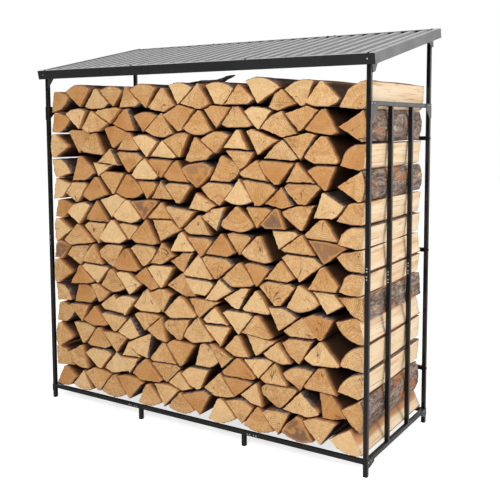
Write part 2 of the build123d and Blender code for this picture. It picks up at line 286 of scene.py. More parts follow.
# split sides take painted shade in the gaps of the stack: a deep amber near the ends, dark brown further in
splitLook = {
    "pale": paint(250, 227, 194), "warm": paint(237, 197, 148), "amber": paint(206, 150, 86),
    "line": paint(172, 120, 66), "deep": paint(190, 124, 62), "paintedShadeDark": paint(66, 38, 20),
    "knot": paint(96, 58, 32), "knotHalo": paint(186, 132, 78), "bark": paint(84, 56, 42),
    "innerBark": paint(168, 106, 62), "barkWidth": 0.0045, "innerWidth": 0.0075, "ior": 1.42,
    "broadStops": (0.28, 0.42, 0.62), "toneCover": (0.0, 1.0, 0.15, 0.6), "fineEdge": (0.45, 0.8),
    "fineCover": 0.45, "lineCover": 0.55,
    "knots": {"drawn": 0.55, "scale": 13.0, "channel": "Red", "taken": (0.60, 0.62)},
    "knotCore": (0.11, 0.05), "knotEdge": (0.26, 0.10), "haloCover": 0.6,
    "buds": {"drawn": 0.4, "scale": 95.0, "channel": "Green", "taken": (0.90, 0.92)},
    "budEdge": (0.22, 0.10), "budCover": 0.7, "deepCover": (0.0, 0.3, 0.0, 0.85),
    "paintedShadeCover": (0.3, 0.9, 0.0, 0.96), "roughness": (0.3, 0.7, 0.58, 0.78), "broadRelief": 1.6,
    "lineRelief": -0.5, "grain": (0.6, 0.0012)}
barkLook = {
    "dark": paint(92, 72, 62), "brown": paint(132, 108, 94), "grey": paint(160, 142, 128),
    "pale": paint(190, 174, 158), "inner": paint(190, 118, 66), "scrape": paint(228, 192, 142),
    "crack": paint(42, 28, 22), "ior": 1.4, "flakeStops": (0.32, 0.45, 0.55, 0.70),
    "flakes": {"drawn": 0.30, "scale": 52, "detail": 5, "roughness": 0.66, "distortion": 0.8},
    "scales": {"drawn": 0.32, "scale": 24, "detail": 4, "roughness": 0.6, "distortion": 1.2},
    "patches": {"drawn": 0.5, "scale": 13, "roughness": 0.5}, "furrowWidth": (0.045, 0.0),
    "furrowCover": 0.7, "barePatch": (0.56, 0.62), "bareFlakes": (0.60, 0.44, 0.2, 0.95),
    "scrapePatch": (0.40, 0.34), "scrapeFlakes": (0.50, 0.58), "scrapeCover": 0.7,
    "paintedShadeCover": (0.1, 0.9, 0.0, 0.88), "roughness": (0.3, 0.7, 0.72, 0.92), "furrowRelief": -0.6,
    "scaleRelief": 1.2, "grain": (0.8, 0.003)}


def logEdges(tree):
    # painted shade for the gaps between logs, distance from the rim of an end, and a second random value
    parts = axesOf(tree, shader(tree, "Attribute", attribute_name="logEdges").outputs["Vector"])
    return parts["X"], parts["Y"], parts["Z"]


def logInputs(tree):
    # place on the log from its pith, and tone, seed and distance from the bark
    place = shader(tree, "Attribute", attribute_name="logPlace").outputs["Vector"]
    parts = axesOf(tree, shader(tree, "Attribute", attribute_name="logCharacter").outputs["Vector"])
    return place, parts["X"], parts["Y"], parts["Z"]


def fromMiddle(tree, value):
    # how far a noise is from its middle value
    return calc(tree, "ABSOLUTE", calc(tree, "SUBTRACT", value, 0.5))


def barkEdge(tree, look, colour, place, nearBark):
    # the bark and the layer under it, seen edge on along a cut
    reach = edgeLook["reach"]
    wander = calc(tree, "MULTIPLY_ADD", noise(tree, place, edgeLook["wander"]), reach, -reach / 2)
    away = calc(tree, "ADD", nearBark, wander)
    inner = band(tree, away, look["innerWidth"], look["innerWidth"] * edgeLook["innerSoft"])
    outer = band(tree, away, look["barkWidth"], look["barkWidth"] * edgeLook["outerSoft"])
    colour = tint(tree, colour, look["innerBark"], inner, edgeLook["innerCover"])
    return blend(tree, outer, colour, look["bark"])


def makeEndGrain(look):
    material, tree, surface = finishMaterial("endGrain", {"IOR": look["ior"]})
    place, tone, seed, nearBark = logInputs(tree)
    _, rim, luck = logEdges(tree)
    axes = axesOf(tree, place)
    across = join(tree, axes["X"], axes["Y"], seed)
    flat = stretch(tree, place, (1, 1, 0))
    away = shader(tree, "VectorMath", {0: flat}, operation="LENGTH").outputs["Value"]
    # growth rings: a sine of the distance from the pith, bent by noise
    bent = calc(tree, "MULTIPLY_ADD", noise(tree, across, look["bend"]), look["bendReach"], away)
    pitch = band(tree, luck, 0.0, 1.0, *[2 * pi / spacing for spacing in look["ringSpacing"]])
    rings = band(tree, calc(tree, "SINE", times(tree, bent, pitch)), *look["ringEdge"])
    belts = noise(tree, join(tree, bent, seed), look["belts"])
    # rays and cracks: noise over the angle round the pith
    angle = calc(tree, "ARCTAN2", axes["X"], axes["Y"])
    spoke = join(tree, angle, times(tree, away, look["rayTwist"]), seed)
    rays = noise(tree, spoke, look["rays"])
    split = fromMiddle(tree, noise(tree, spoke, look["cracks"]))
    opened = calc(tree, "DIVIDE", split, band(tree, away, *look["crackWidth"]))
    crack = times(tree, band(tree, opened, *look["crackEdge"]), noise(tree, across, look["crackChance"]))
    # the tone of the log, then the layers from below
    tones = [(0.0, look["amber"]), (look["ochreTone"], look["ochre"]), (1.0, look["pale"])]
    colour = ramp(tree, tone, tones)
    colour = blend(tree, band(tree, away, *look["paleOutside"]), colour, look["pale"])
    colour = tint(tree, colour, look["ochre"], noise(tree, across, look["mottle"]), look["mottleCover"])
    colour = tint(tree, colour, look["amber"], noise(tree, across, look["blotches"]), look["blotchCover"])
    colour = tint(tree, colour, look["ringDark"], belts, look["beltCover"])
    colour = tint(tree, colour, look["ringDark"], rings, band(tree, luck, *look["ringCover"]))
    colour = tint(tree, colour, look["ringDark"], rays, look["rayCover"])
    grit = noise(tree, across, look["grit"])
    colour = blend(tree, band(tree, grit, *look["gritDark"]), colour, look["ringDark"])
    colour = blend(tree, band(tree, grit, *look["gritPale"]), colour, look["frayAndHighlight"])
    colour = blend(tree, band(tree, tone, *look["lowTone"]), colour, look["amber"])
    colour = blend(tree, band(tree, tone, *look["highTone"]), colour, look["pale"])
    # frayed fibres and a painted highlight: a pale rim along the edge of each end
    frayedHighlightRim = times(tree, band(tree, rim, *look["frayHighlightWidth"]), noise(tree, across, look["frayedHighlightRim"]))
    colour = tint(tree, colour, look["frayAndHighlight"], frayedHighlightRim, look["frayHighlightCover"])
    stained = times(tree, band(tree, tone, *look["stainTone"]), band(tree, rim, *look["stainRim"]))
    stained = times(tree, stained, noise(tree, across, look["stains"]))
    colour = tint(tree, colour, look["stain"], stained, look["stainCover"])
    colour = tint(tree, colour, look["crack"], crack, look["crackCover"])
    colour = barkEdge(tree, look, colour, place, nearBark)
    # saw marks: narrow noise drawn out along one direction
    saw = noise(tree, stretch(tree, across, (1, look["sawDrawn"], 1)), look["saw"])
    sawn = band(tree, saw, *look["sawEdge"])
    colour = tint(tree, colour, look["amber"], sawn, band(tree, luck, *look["sawCover"]))
    relief = calc(tree, "MULTIPLY_ADD", rings, look["ringRelief"], saw)
    relief = calc(tree, "MULTIPLY_ADD", crack, look["crackRelief"], relief)
    feed(tree, surface, colour, band(tree, saw, *look["roughness"]), bump(tree, relief, *look["grain"]))
    return material


def makeSplitWood(look):
    material, tree, surface = finishMaterial("splitWood", {"IOR": look["ior"]})
    place, tone, seed, nearBark = logInputs(tree)
    paintedShade, _, _ = logEdges(tree)
    fibre = useGroup(tree, woodFibre, {"Place": place, "Seed": seed})
    stops = zip(look["broadStops"], (look["amber"], look["warm"], look["pale"]))
    colour = ramp(tree, fibre["Broad"], list(stops))
    colour = blend(tree, band(tree, tone, *look["toneCover"]), colour, look["pale"])
    fine = band(tree, fibre["Fine"], *look["fineEdge"])
    colour = tint(tree, colour, look["warm"], fine, look["fineCover"])
    colour = tint(tree, colour, look["line"], fibre["Lines"], look["lineCover"])
    # knots and bud marks: near the middle of a few cells
    distance, taken = cells(tree, place, look["knots"])
    halo = times(tree, band(tree, distance, *look["knotEdge"]), taken)
    colour = tint(tree, colour, look["knotHalo"], halo, look["haloCover"])
    colour = tint(tree, colour, look["knot"], band(tree, distance, *look["knotCore"]), taken)
    distance, taken = cells(tree, place, look["buds"])
    buds = times(tree, band(tree, distance, *look["budEdge"]), taken)
    colour = tint(tree, colour, look["knot"], buds, look["budCover"])
    colour = barkEdge(tree, look, colour, place, nearBark)
    # painted shade: deep amber, then dark brown, on sides that lie in the gaps between logs
    colour = blend(tree, band(tree, paintedShade, *look["deepCover"]), colour, look["deep"])
    colour = blend(tree, band(tree, paintedShade, *look["paintedShadeCover"]), colour, look["paintedShadeDark"])
    relief = calc(tree, "MULTIPLY_ADD", fibre["Broad"], look["broadRelief"], fibre["Fine"])
    relief = calc(tree, "MULTIPLY_ADD", fibre["Lines"], look["lineRelief"], relief)
    rough = band(tree, fibre["Fine"], *look["roughness"])
    feed(tree, surface, colour, rough, bump(tree, relief, *look["grain"]))
    return material


def makeBark(look):
    material, tree, surface = finishMaterial("bark", {"IOR": look["ior"]})
    place, _, seed, _ = logInputs(tree)
    paintedShade, _, _ = logEdges(tree)
    moved = seeded(tree, place, seed)
    # bark lies in flakes drawn out along the log, with furrows where the second noise crosses its middle
    flakes = noise(tree, moved, look["flakes"])
    scales = noise(tree, moved, look["scales"])
    patches = noise(tree, moved, look["patches"])
    furrow = band(tree, fromMiddle(tree, scales), *look["furrowWidth"])
    stops = zip(look["flakeStops"], (look["dark"], look["brown"], look["grey"], look["pale"]))
    colour = ramp(tree, flakes, list(stops))
    bare = times(tree, band(tree, patches, *look["barePatch"]), band(tree, flakes, *look["bareFlakes"]))
    colour = blend(tree, bare, colour, look["inner"])
    scrape = band(tree, patches, *look["scrapePatch"])
    scrape = times(tree, scrape, band(tree, flakes, *look["scrapeFlakes"]))
    colour = tint(tree, colour, look["scrape"], scrape, look["scrapeCover"])
    colour = tint(tree, colour, look["crack"], furrow, look["furrowCover"])
    # painted shade: bark in the gaps between logs darkened towards the crack colour
    colour = blend(tree, band(tree, paintedShade, *look["paintedShadeCover"]), colour, look["crack"])
    relief = calc(tree, "MULTIPLY_ADD", furrow, look["furrowRelief"], flakes)
    relief = calc(tree, "MULTIPLY_ADD", scales, look["scaleRelief"], relief)
    rough = band(tree, flakes, *look["roughness"])
    feed(tree, surface, colour, rough, bump(tree, relief, *look["grain"]))
    return material


endGrain = makeEndGrain(endLook)
splitWood = makeSplitWood(splitLook)
bark = makeBark(barkLook)
print("materials made:", len(bpy.data.materials))


def makePiece(name, vertices, faces, materials, sharp, kinds=None, vectors=None):
    # a smooth mesh with sharp edges past an angle, materials by kind of face and vectors for the shaders
    mesh = bpy.data.meshes.new(name)
    mesh.from_pydata(vertices.tolist(), [], faces)
    if kinds is not None:
        mesh.polygons.foreach_set("material_index", kinds.astype(np.int32))
    mesh.polygons.foreach_set("use_smooth", np.ones(len(mesh.polygons), bool))
    mesh.set_sharp_from_angle(angle=radians(sharp))
    for label, values in (vectors or {}).items():
        attribute = mesh.attributes.new(label, "FLOAT_VECTOR", "POINT")
        attribute.data.foreach_set("vector", values.astype(np.float32).ravel())
    for material in materials:
        mesh.materials.append(material)
    piece = bpy.data.objects.new(name, mesh)
    bpy.context.scene.collection.objects.link(piece)
    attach(piece, "root")
    return piece


def closedGrid(around, rows):
    # numbers in a grid that closes round: the start of each row but the last, each place and the next one
    j = np.arange(around)
    row = np.arange(rows - 1)[:, None] * around
    return row, j, (j + 1) % around


# firewood: each log is read from its solid and made again with worn sides, rounded edges and sawn ends

firewood = {
    "seed": 4, "step": 0.0072, "radius": 0.128, "sharp": 36,
    # reading a log: the bark's corners turn by so many degrees and are no further apart
    "arcTurn": (8, 20), "arcSide": 0.048, "radiusRange": (0.09, 0.14), "blunt": 0.0025,
    # rounding its outline
    "gentleTurn": 22, "corner": 0.0045, "arcCorner": 0.016, "cornerShare": 0.46, "curvePoints": 4,
    "markGap": 0.4, "leastGap": 0.0006, "barkFacing": 0.8, "barkReach": 0.6,
    # relief of its sides, as lengths round the log and waves along it
    "inset": 0.0010, "splitRelief": 0.0027, "barkRelief": 0.0028,
    "splitWaves": ((0.019, 0.4), (0.031, 0.9), (0.052, 0.3), (0.11, 0.6)),
    "barkWaves": ((0.017, 2.1), (0.024, 3.3), (0.041, 5.2), (0.09, 1.4)),
    "touchPlace": (0.46, 0.54), "touchLength": 0.24, "touchShare": 0.94,
    "stations": 13, "endStations": (0.004, 0.05), "taper": 0.022, "taperBack": 0.7,
    # sawn ends
    "rings": (0.03, 0.11, 0.28, 0.58), "endBevel": 0.0016, "endTilt": 0.045, "endRelief": 0.0010,
    "sawWaves": (90, 70), "sawPhase": 6, "chipChance": 0.16, "chipDepth": 0.016, "chipLeast": 0.4,
    "chipReach": (0.02, 0.05), "chipSlope": 1.5,
    # what the shaders read, with the depth and reach of the painted shade in the gaps of the stack
    "seeds": 20, "noBark": 0.2, "paintedShadeDepth": 0.055, "paintedShadeLeast": 0.3, "openReach": 0.05,
    "openFade": 0.03, "stackHalf": 0.881, "stackTop": 1.60}


def readLogs(node):
    # welds the node's loose triangles, then each log is what shares one lowest point number
    mesh = node.data
    points = np.empty(len(mesh.vertices) * 3, np.float32)
    mesh.vertices.foreach_get("co", points)
    corners = np.empty(len(mesh.loops), np.int32)
    mesh.loops.foreach_get("vertex_index", corners)
    places = np.round(points.reshape(-1, 3), 5)  # to a hundredth of a millimetre
    points, weld = np.unique(places, axis=0, return_inverse=True)
    triangles = weld.reshape(-1)[corners].reshape(-1, 3)
    label = np.arange(len(points))
    settled = False
    while not settled:
        reached = label.copy()
        np.minimum.at(reached, triangles.ravel(), np.repeat(label[triangles].min(axis=1), 3))
        settled = np.array_equal(reached, label)
        label = reached
    return [points[label == k].astype(float) for k in np.unique(label)]


def readOutline(points):
    # corners of the log's front, in order round their middle
    front = points[points[:, 1] < points[:, 1].mean()][:, [0, 2]]
    spoke = front - front.mean(axis=0)
    return front[np.argsort(np.arctan2(spoke[:, 1], spoke[:, 0]))]


def turnsOf(corners):
    # length and heading of the side after each corner, and the turn at the corner
    side = np.roll(corners, -1, axis=0) - corners
    heading = np.arctan2(side[:, 1], side[:, 0])
    before = np.roll(heading, 1)
    return np.hypot(side[:, 0], side[:, 1]), before, (heading - before + pi) % (2 * pi) - pi


def findPith(corners, look):
    # the bark's corners turn a little each; the pith lies one radius inside them
    length, before, turn = turnsOf(corners)
    facing = before + turn / 2 - pi / 2
    outward = np.stack([np.cos(facing), np.sin(facing)], axis=1)
    low, high = np.radians(look["arcTurn"])
    gentle = (turn > low) & (turn < high) & (np.maximum(length, np.roll(length, 1)) < look["arcSide"])
    if not gentle.any():
        pith = corners[np.argmax(turn)]
        return pith, corners.mean(axis=0) - pith, look["radius"]
    between = gentle & np.roll(gentle, -1)
    radius = look["radius"]
    if between.any():
        chords = (length[between] - look["blunt"]) / (2 * np.sin(turn[between] / 2))
        radius = np.clip(np.mean(chords), *look["radiusRange"])
    return (corners[gentle] - radius * outward[gentle]).mean(axis=0), outward[gentle].mean(axis=0), radius


def refineOutline(corners, gentle, look):
    # each corner gives way to a curve, t squared between its two sides, and the line is divided evenly
    sides = []
    for shifted in (np.roll(corners, 1, axis=0), np.roll(corners, -1, axis=0)):
        away = shifted - corners
        length = np.hypot(away[:, 0], away[:, 1])[:, None]
        cut = np.where(gentle, look["arcCorner"], look["corner"])[:, None]
        sides.append(corners + away / length * np.minimum(cut, look["cornerShare"] * length))
    count = look["curvePoints"]
    t = np.linspace(0, 1, count)[None, :, None]
    before, after = sides
    curve = (1 - t) ** 2 * before[:, None] + 2 * t * (1 - t) * corners[:, None] + t ** 2 * after[:, None]
    line = np.concatenate([curve.reshape(-1, 2), curve[0, :1]])
    run = np.concatenate([[0], np.cumsum(np.hypot(*np.diff(line, axis=0).T))])
    marks = run[:-1].reshape(-1, count)[:, ::2].ravel()
    even = np.arange(0, run[-1], look["step"])
    gap = np.abs(even[:, None] - marks[None, :])
    even = even[np.minimum(gap, run[-1] - gap).min(axis=1) > look["markGap"] * look["step"]]
    places = np.unique(np.concatenate([marks, even]))
    places = places[np.diff(places, append=run[-1]) > look["leastGap"]]
    return np.stack([np.interp(places, run, line[:, k]) for k in (0, 1)], axis=1), places


def ripple(rng, places, stations, waves):
    # sum of sines over the way round and the way along, from -1 to 1
    total = np.zeros((len(stations), len(places)))
    for length, along in waves:
        phase = rng.uniform(0, 2 * pi)
        total += np.sin(2 * pi * (places[None, :] / length + stations[:, None] * along) + phase)
    return total / len(waves)


def sawCut(points, outline, middle, slope, phase, chip, look):
    # depth of a cut: a tilted plane with waves, and a hollow round the broken corner
    local = points - middle
    cut = local @ slope
    cut = cut - (outline - middle).dot(slope).min()
    across, upright = look["sawWaves"]
    waves = np.sin(local[..., 0] * across + phase) * np.sin(local[..., 1] * upright - phase)
    cut += look["endRelief"] * (1 + waves)
    near = np.clip(1 - np.hypot(*np.moveaxis(points - chip[:2], -1, 0)) / chip[2], 0, 1)
    return cut + chip[3] * near ** look["chipSlope"]


def makeEnd(rng, loop, outline, middle, y, way, look):
    # an end: rings drawn in towards the middle, cut by the saw, now and then with a corner broken off
    chipped = rng.random() < look["chipChance"]
    corner = outline[rng.integers(len(outline))]
    chipReach = rng.uniform(*look["chipReach"])
    chip = (*corner, chipReach, look["chipDepth"] * rng.uniform(look["chipLeast"], 1) * chipped)
    slope = rng.uniform(-1, 1, 2) * look["endTilt"]
    drawnIn = [middle + (loop - middle) * (1 - share) for share in look["rings"]]
    shape = np.concatenate([loop] + drawnIn + [middle[None]])
    phase = rng.uniform(0, look["sawPhase"])
    cut = sawCut(shape, outline, middle, slope, phase, chip, look)
    return np.insert(shape, 1, y + way * cut, axis=1)


def logFaces(count, rows, onBark, look):
    # quads along the sides and between the rings, a fan at each middle; kinds: 0 end, 1 split, 2 bark
    row, j, k = closedGrid(count, rows)
    sideFaces = np.stack([row + j, row + count + j, row + count + k, row + k], axis=-1).reshape(-1, 4)
    quads, fans = [sideFaces], []
    ringStart = rows * count
    for first, flip in ((0, False), ((rows - 1) * count, True)):
        outer = first
        for _ in look["rings"]:
            ring = np.stack([outer + j, outer + k, ringStart + k, ringStart + j], axis=-1)
            quads.append(ring[:, ::-1] if flip else ring)
            outer = ringStart
            ringStart += count
        fan = np.stack([outer + j, outer + k, np.full(count, ringStart)], axis=-1)
        fans.append(fan[:, ::-1] if flip else fan)
        ringStart += 1
    quads = np.concatenate(quads)
    quadKinds = np.zeros(len(quads), int)
    quadKinds[:len(sideFaces)] = np.tile(np.where(onBark & onBark[k], 2, 1), rows - 1)
    return quads, np.concatenate(fans), quadKinds


def makeLog(points, rng, look):
    corners = readOutline(points)
    pith, axis, radius = findPith(corners, look)
    axis = axis / np.hypot(*axis)
    gentle = turnsOf(corners)[2] < radians(look["gentleTurn"])
    outline, places = refineOutline(corners, gentle, look)
    tangent = np.roll(outline, -1, axis=0) - np.roll(outline, 1, axis=0)
    outward = np.stack([tangent[:, 1], -tangent[:, 0]], axis=1) / np.hypot(*tangent.T)[:, None]
    spoke = outline - pith
    away = np.hypot(*spoke.T)
    onBark = (outward * spoke).sum(axis=1) / away > look["barkFacing"]
    onBark &= away > look["barkReach"] * radius
    onBark &= np.roll(onBark, 1) | np.roll(onBark, -1)
    middle = outline.mean(axis=0)
    front, back = points[:, 1].min(), points[:, 1].max()
    count = len(outline)

    # sides: the outline drawn in by the relief, and by the taper towards one end
    close, first = look["endStations"]
    inner = np.linspace(first, 1 - first, look["stations"])
    stations = np.concatenate([[0, close], inner, [1 - close, 1]])
    fibre = ripple(rng, places, stations, look["splitWaves"])
    ridges = ripple(rng, places, stations, look["barkWaves"])
    ridges = look["barkRelief"] * (1 + ridges)
    relief = np.where(onBark[None, :], ridges, look["splitRelief"] * (1 + fibre)) + look["inset"]
    # logs touch somewhere near their middles: the relief dies away there
    touch = (stations - rng.uniform(*look["touchPlace"])) / look["touchLength"]
    relief *= (1 - look["touchShare"] * np.exp(-touch ** 2))[:, None]
    relief[[0, -1]] += look["endBevel"]
    flat = outline[None] - outward[None] * relief[:, :, None]
    taper = look["taper"] * rng.random()
    shrink = 1 - taper * (stations if rng.random() < look["taperBack"] else 1 - stations)
    flat = middle + (flat - middle) * shrink[:, None, None]

    ends = [makeEnd(rng, loop, outline, middle, y, way, look)
            for loop, y, way in ((flat[0], front, 1), (flat[-1], back, -1))]
    starts, stops = ends[0][:count, 1], ends[1][:count, 1]
    depth = starts[None] + stations[:, None] * (stops - starts)[None]
    body = np.stack([flat[..., 0], depth, flat[..., 1]], axis=-1)
    vertices = np.concatenate([body.reshape(-1, 3), ends[0][count:], ends[1][count:]])
    total = len(vertices)
    quads, fans, quadKinds = logFaces(count, len(stations), onBark, look)

    # what the shaders read: place from the pith in the log's own directions, tone, seed, way to the bark
    local = vertices[:, [0, 2]] - pith
    cross = np.array([axis[1], -axis[0]])
    place = np.stack([local @ cross, local @ axis, vertices[:, 1] - front], axis=1)
    nearBark = np.full(total, look["noBark"])
    if onBark.any():
        offset = vertices[:, None, [0, 2]] - outline[onBark][None]
        nearBark = np.maximum(np.hypot(offset[..., 0], offset[..., 1]).min(axis=1) - look["inset"], 0)
    tone, seed = rng.random(), rng.uniform(0, look["seeds"])
    character = np.stack([np.full(total, tone), np.full(total, seed), nearBark], axis=1)

    # painted shade, darkening log sides in the gaps: how far a point lies behind the ends, less at the open
    # sides and top of the stack;
    # rim: 0 along the edge of an end, 1 at its middle
    behind = np.minimum(vertices[:, 1] - front, back - vertices[:, 1])
    sideways = np.abs(vertices[:, 0]) - look["stackHalf"] + look["openReach"]
    inside = 1 - np.clip(np.maximum(sideways, vertices[:, 2] - look["stackTop"]) / look["openFade"], 0, 1)
    least = look["paintedShadeLeast"]
    paintedShade = inside * (least + (1 - least) * np.clip(behind / look["paintedShadeDepth"], 0, 1))
    rim = np.zeros(total)
    rim[len(stations) * count:] = np.tile(np.append(np.repeat(look["rings"], count), 1), 2)
    edges = np.stack([paintedShade, rim, np.full(total, rng.random())], axis=1)
    return vertices, quads, fans, quadKinds, place, character, edges


def makeTier(number, rng):
    node = nodes[f"firewood_tier_{number}"]
    logs = [makeLog(points, rng, firewood) for points in readLogs(node)]
    vertices, quads, fans, quadKinds, *vectors = zip(*logs)
    starts = np.cumsum([0] + [len(points) for points in vertices[:-1]])
    quads = np.concatenate([faces + start for faces, start in zip(quads, starts)])
    fans = np.concatenate([faces + start for faces, start in zip(fans, starts)])
    kinds = np.concatenate([*quadKinds, np.zeros(len(fans), int)])
    labels = ("logPlace", "logCharacter", "logEdges")
    piece = makePiece(f"logs_{number}", np.concatenate(vertices), quads.tolist() + fans.tolist(),
                      (endGrain, splitWood, bark), firewood["sharp"], kinds,
                      {label: np.concatenate(values) for label, values in zip(labels, vectors)})
    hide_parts(node.name)
    print("tier", number, len(logs), "logs", len(kinds), "faces")


logRandom = np.random.default_rng(firewood["seed"])
for tier in range(1, 6):
    makeTier(tier, logRandom)


# loose bark on top of the stack: the height of its underside and top at places along X; the strip is
# darkened evenly by the same painted shade as the logs

stripLook = {"along": (-0.030, 0.015, 0.050, 0.090, 0.130, 0.160, 0.190, 0.226),
             "under": (1.6275, 1.6265, 1.6260, 1.6235, 1.6240, 1.6270, 1.6400, 1.6530),
             "top": (1.6300, 1.6370, 1.6410, 1.6400, 1.6410, 1.6460, 1.6560, 1.6590),
             "depth": -0.300, "sway": (0.006, 5), "halfWidth": 0.026, "curl": 0.0020, "tipWidth": 0.02,
             "tipShape": 0.45, "ragged": 0.26, "raggedWaves": (31, 57), "raggedTop": 0.15, "sections": 60,
             "around": 16, "sharp": 50, "paintedShade": 0.72, "seed": 7.3}


def makeBarkStrip(look):
    # a flattened ring carried along X: ragged edges from sines, narrowing to both ends
    share = np.linspace(0, 1, look["sections"])[:, None]
    turn = np.linspace(0, 2 * pi, look["around"], endpoint=False)[None, :]
    x = look["along"][0] + (look["along"][-1] - look["along"][0]) * share
    under, top = (np.interp(x, look["along"], look[name]) for name in ("under", "top"))
    narrow = np.clip(np.sin(pi * share), look["tipWidth"], 1) ** look["tipShape"]
    slow, quick = look["raggedWaves"]
    ragged = 1 + look["ragged"] * (np.sin(slow * share + 2 * turn) + np.sin(quick * share - turn)) / 2
    swayReach, swayWave = look["sway"]
    sideways = look["halfWidth"] * narrow * ragged * np.cos(turn)
    y = look["depth"] + swayReach * np.sin(swayWave * share) + sideways
    uneven = 1 - look["raggedTop"] + look["raggedTop"] * ragged
    curl = look["curl"] * narrow * np.cos(turn) ** 2
    z = (top + under) / 2 + (top - under) / 2 * uneven * np.sin(turn) + curl
    vertices = np.stack([x + 0 * turn, y, z], axis=-1).reshape(-1, 3)
    around = look["around"]
    row, j, k = closedGrid(around, look["sections"])
    quads = np.stack([row + j, row + k, row + around + k, row + around + j], axis=-1).reshape(-1, 4)
    last = (look["sections"] - 1) * around
    faces = quads.tolist() + [j[::-1].tolist(), (last + j).tolist()]
    ones = np.ones(len(vertices))
    vectors = {"logPlace": vertices[:, [1, 2, 0]],
               "logCharacter": np.stack([ones, ones * look["seed"], ones * 0], axis=1),
               "logEdges": np.stack([ones * look["paintedShade"], ones * 0, ones], axis=1)}
    makePiece("bark_strip", vertices, faces, [bark], look["sharp"], vectors=vectors)
    print("bark strip laid")


makeBarkStrip(stripLook)


# bolts and screws: a head is a profile of height and radius

boltLook = {"head": ((0.0000, 0.0030), (0.0006, 0.0033), (0.0018, 0.0030), (0.0026, 0.0018),
                     (0.0028, 0.0002)), "sides": 12}
railBoltLook = {"head": ((0.0000, 0.0050), (0.0030, 0.0050), (0.0034, 0.0044), (0.0035, 0.0002)), "sides": 6}
roofScrewLook = {"head": ((0.0000, 0.0058), (0.0007, 0.0058), (0.0009, 0.0040), (0.0028, 0.0038),
                          (0.0030, 0.0002)), "sides": 6}
headLook = {"sharp": 40, "steep": 0.7}  # a head that rises more than this is turned round from X, not Z
frameFixings = {"splice": (-0.0225, -0.0105, 0.0105, 0.0225), "gusset": 0.026}
roofFixings = {"slope": 12.4, "fascia": 0.044, "length": 0.7915, "edge": 0.018, "bolts": (-0.893, 0.893),
               "front": (-0.892, -0.316, 0.324, 0.892), "back": (-0.888, -0.353, 0.348, 0.386, 0.888)}
sideWays = (("left", -1), ("right", 1))
endWays = (("front", -1), ("back", 1))


def makeHeads(name, look, places, directions, material, slotName):
    # the profile turned round each direction, all heads as one array
    places = np.array(places)
    direction = np.array(directions, float)
    direction = direction / np.linalg.norm(direction, axis=1)[:, None]
    upright = np.abs(direction[:, 2:3]) > headLook["steep"]
    sideways = np.cross(np.where(upright, [[1.0, 0, 0]], [[0, 0, 1.0]]), direction)
    sideways = sideways / np.linalg.norm(sideways, axis=1)[:, None]
    upward = np.cross(direction, sideways)
    profile = np.array(look["head"])
    count = look["sides"]
    angle = np.arange(count) * 2 * pi / count
    circle = (sideways[:, None, None] * np.cos(angle)[None, None, :, None]
              + upward[:, None, None] * np.sin(angle)[None, None, :, None])
    heads = (places[:, None, None] + direction[:, None, None] * profile[None, :, 0, None, None]
             + circle * profile[None, :, 1, None, None])
    rows = len(profile)
    row, j, k = closedGrid(count, rows)
    quads = np.stack([row + j, row + k, row + count + k, row + count + j], axis=-1).reshape(-1, 4)
    starts = (np.arange(len(places)) * rows * count)[:, None]
    faces = (starts[:, None] + quads[None]).reshape(-1, 4).tolist()
    faces += (starts + j + (rows - 1) * count).tolist() + (starts + j[::-1]).tolist()
    makePiece(name, heads.reshape(-1, 3), faces, [material], headLook["sharp"])
    print(name, len(places), "heads")


def middleOf(name):
    low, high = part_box(name)
    return (low + high) / 2


def spliceBolts():
    # two pairs over each splice, on the outer face of a tube
    places, directions = [], []
    offsets = frameFixings["splice"]
    for side, _ in sideWays:
        for end, way in endWays:
            low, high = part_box(f"{end}_{side}_post_lower")
            x, y = (low.x + high.x) / 2, low.y if way < 0 else high.y
            places += [(x, y, high.z + offset) for offset in offsets]
            low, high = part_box(f"{end}_bottom_rail_{side}")
            x, y = low.x if side == "right" else high.x, low.y if way < 0 else high.y
            places += [(x + offset, y, (low.z + high.z) / 2) for offset in offsets]
            directions += [(0, way, 0)] * 2 * len(offsets)
        for number in (1, 2):
            low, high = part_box(f"{side}_bar_{number}")
            x, z = (low.x + high.x) / 2, (low.z + high.z) / 2
            places += [(x, low.y, z + offset) for offset in offsets]
            directions += [(0, -1, 0)] * len(offsets)
    return places, directions


def gussetBolts():
    # one through the post and one through the rail at each plate
    places, directions = [], []
    for side, way in sideWays:
        low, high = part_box(f"{side}_gussets")
        x = low.x if way < 0 else high.x
        for rail in ("top", "bottom"):
            z = middleOf(f"{side}_{rail}_rail").z
            for end, out in endWays:
                y = middleOf(f"{end}_{side}_post_lower").y
                places += [(x, y, z), (x, y - out * frameFixings["gusset"], z)]
                directions += [(way, 0, 0)] * 2
    return places, directions


def railBolts():
    # hexagon heads on the posts at the ends of the back rails
    places, directions = [], []
    for side, way in sideWays:
        low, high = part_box(f"back_{side}_post_upper")
        x, y = low.x if way < 0 else high.x, (low.y + high.y) / 2
        for rail in ("low", "middle", "upper"):
            places.append((x, y, middleOf(f"back_rail_{rail}").z))
            directions.append((way, 0, 0))
    return places, directions


def onRoof(x, along, up):
    # a point given in the roof's own tilted directions, from the bottom edge of the fascia
    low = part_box("front_trim")[0]
    lean = radians(roofFixings["slope"])
    start = low.y + roofFixings["fascia"] * sin(lean)
    return (x, start + along * cos(lean) - up * sin(lean), low.z + along * sin(lean) + up * cos(lean))


def fasciaBolts():
    lean = radians(roofFixings["slope"])
    places = [onRoof(x, 0, roofFixings["fascia"] / 2) for x in roofFixings["bolts"]]
    return places, [(0, -cos(lean), -sin(lean))] * len(places)


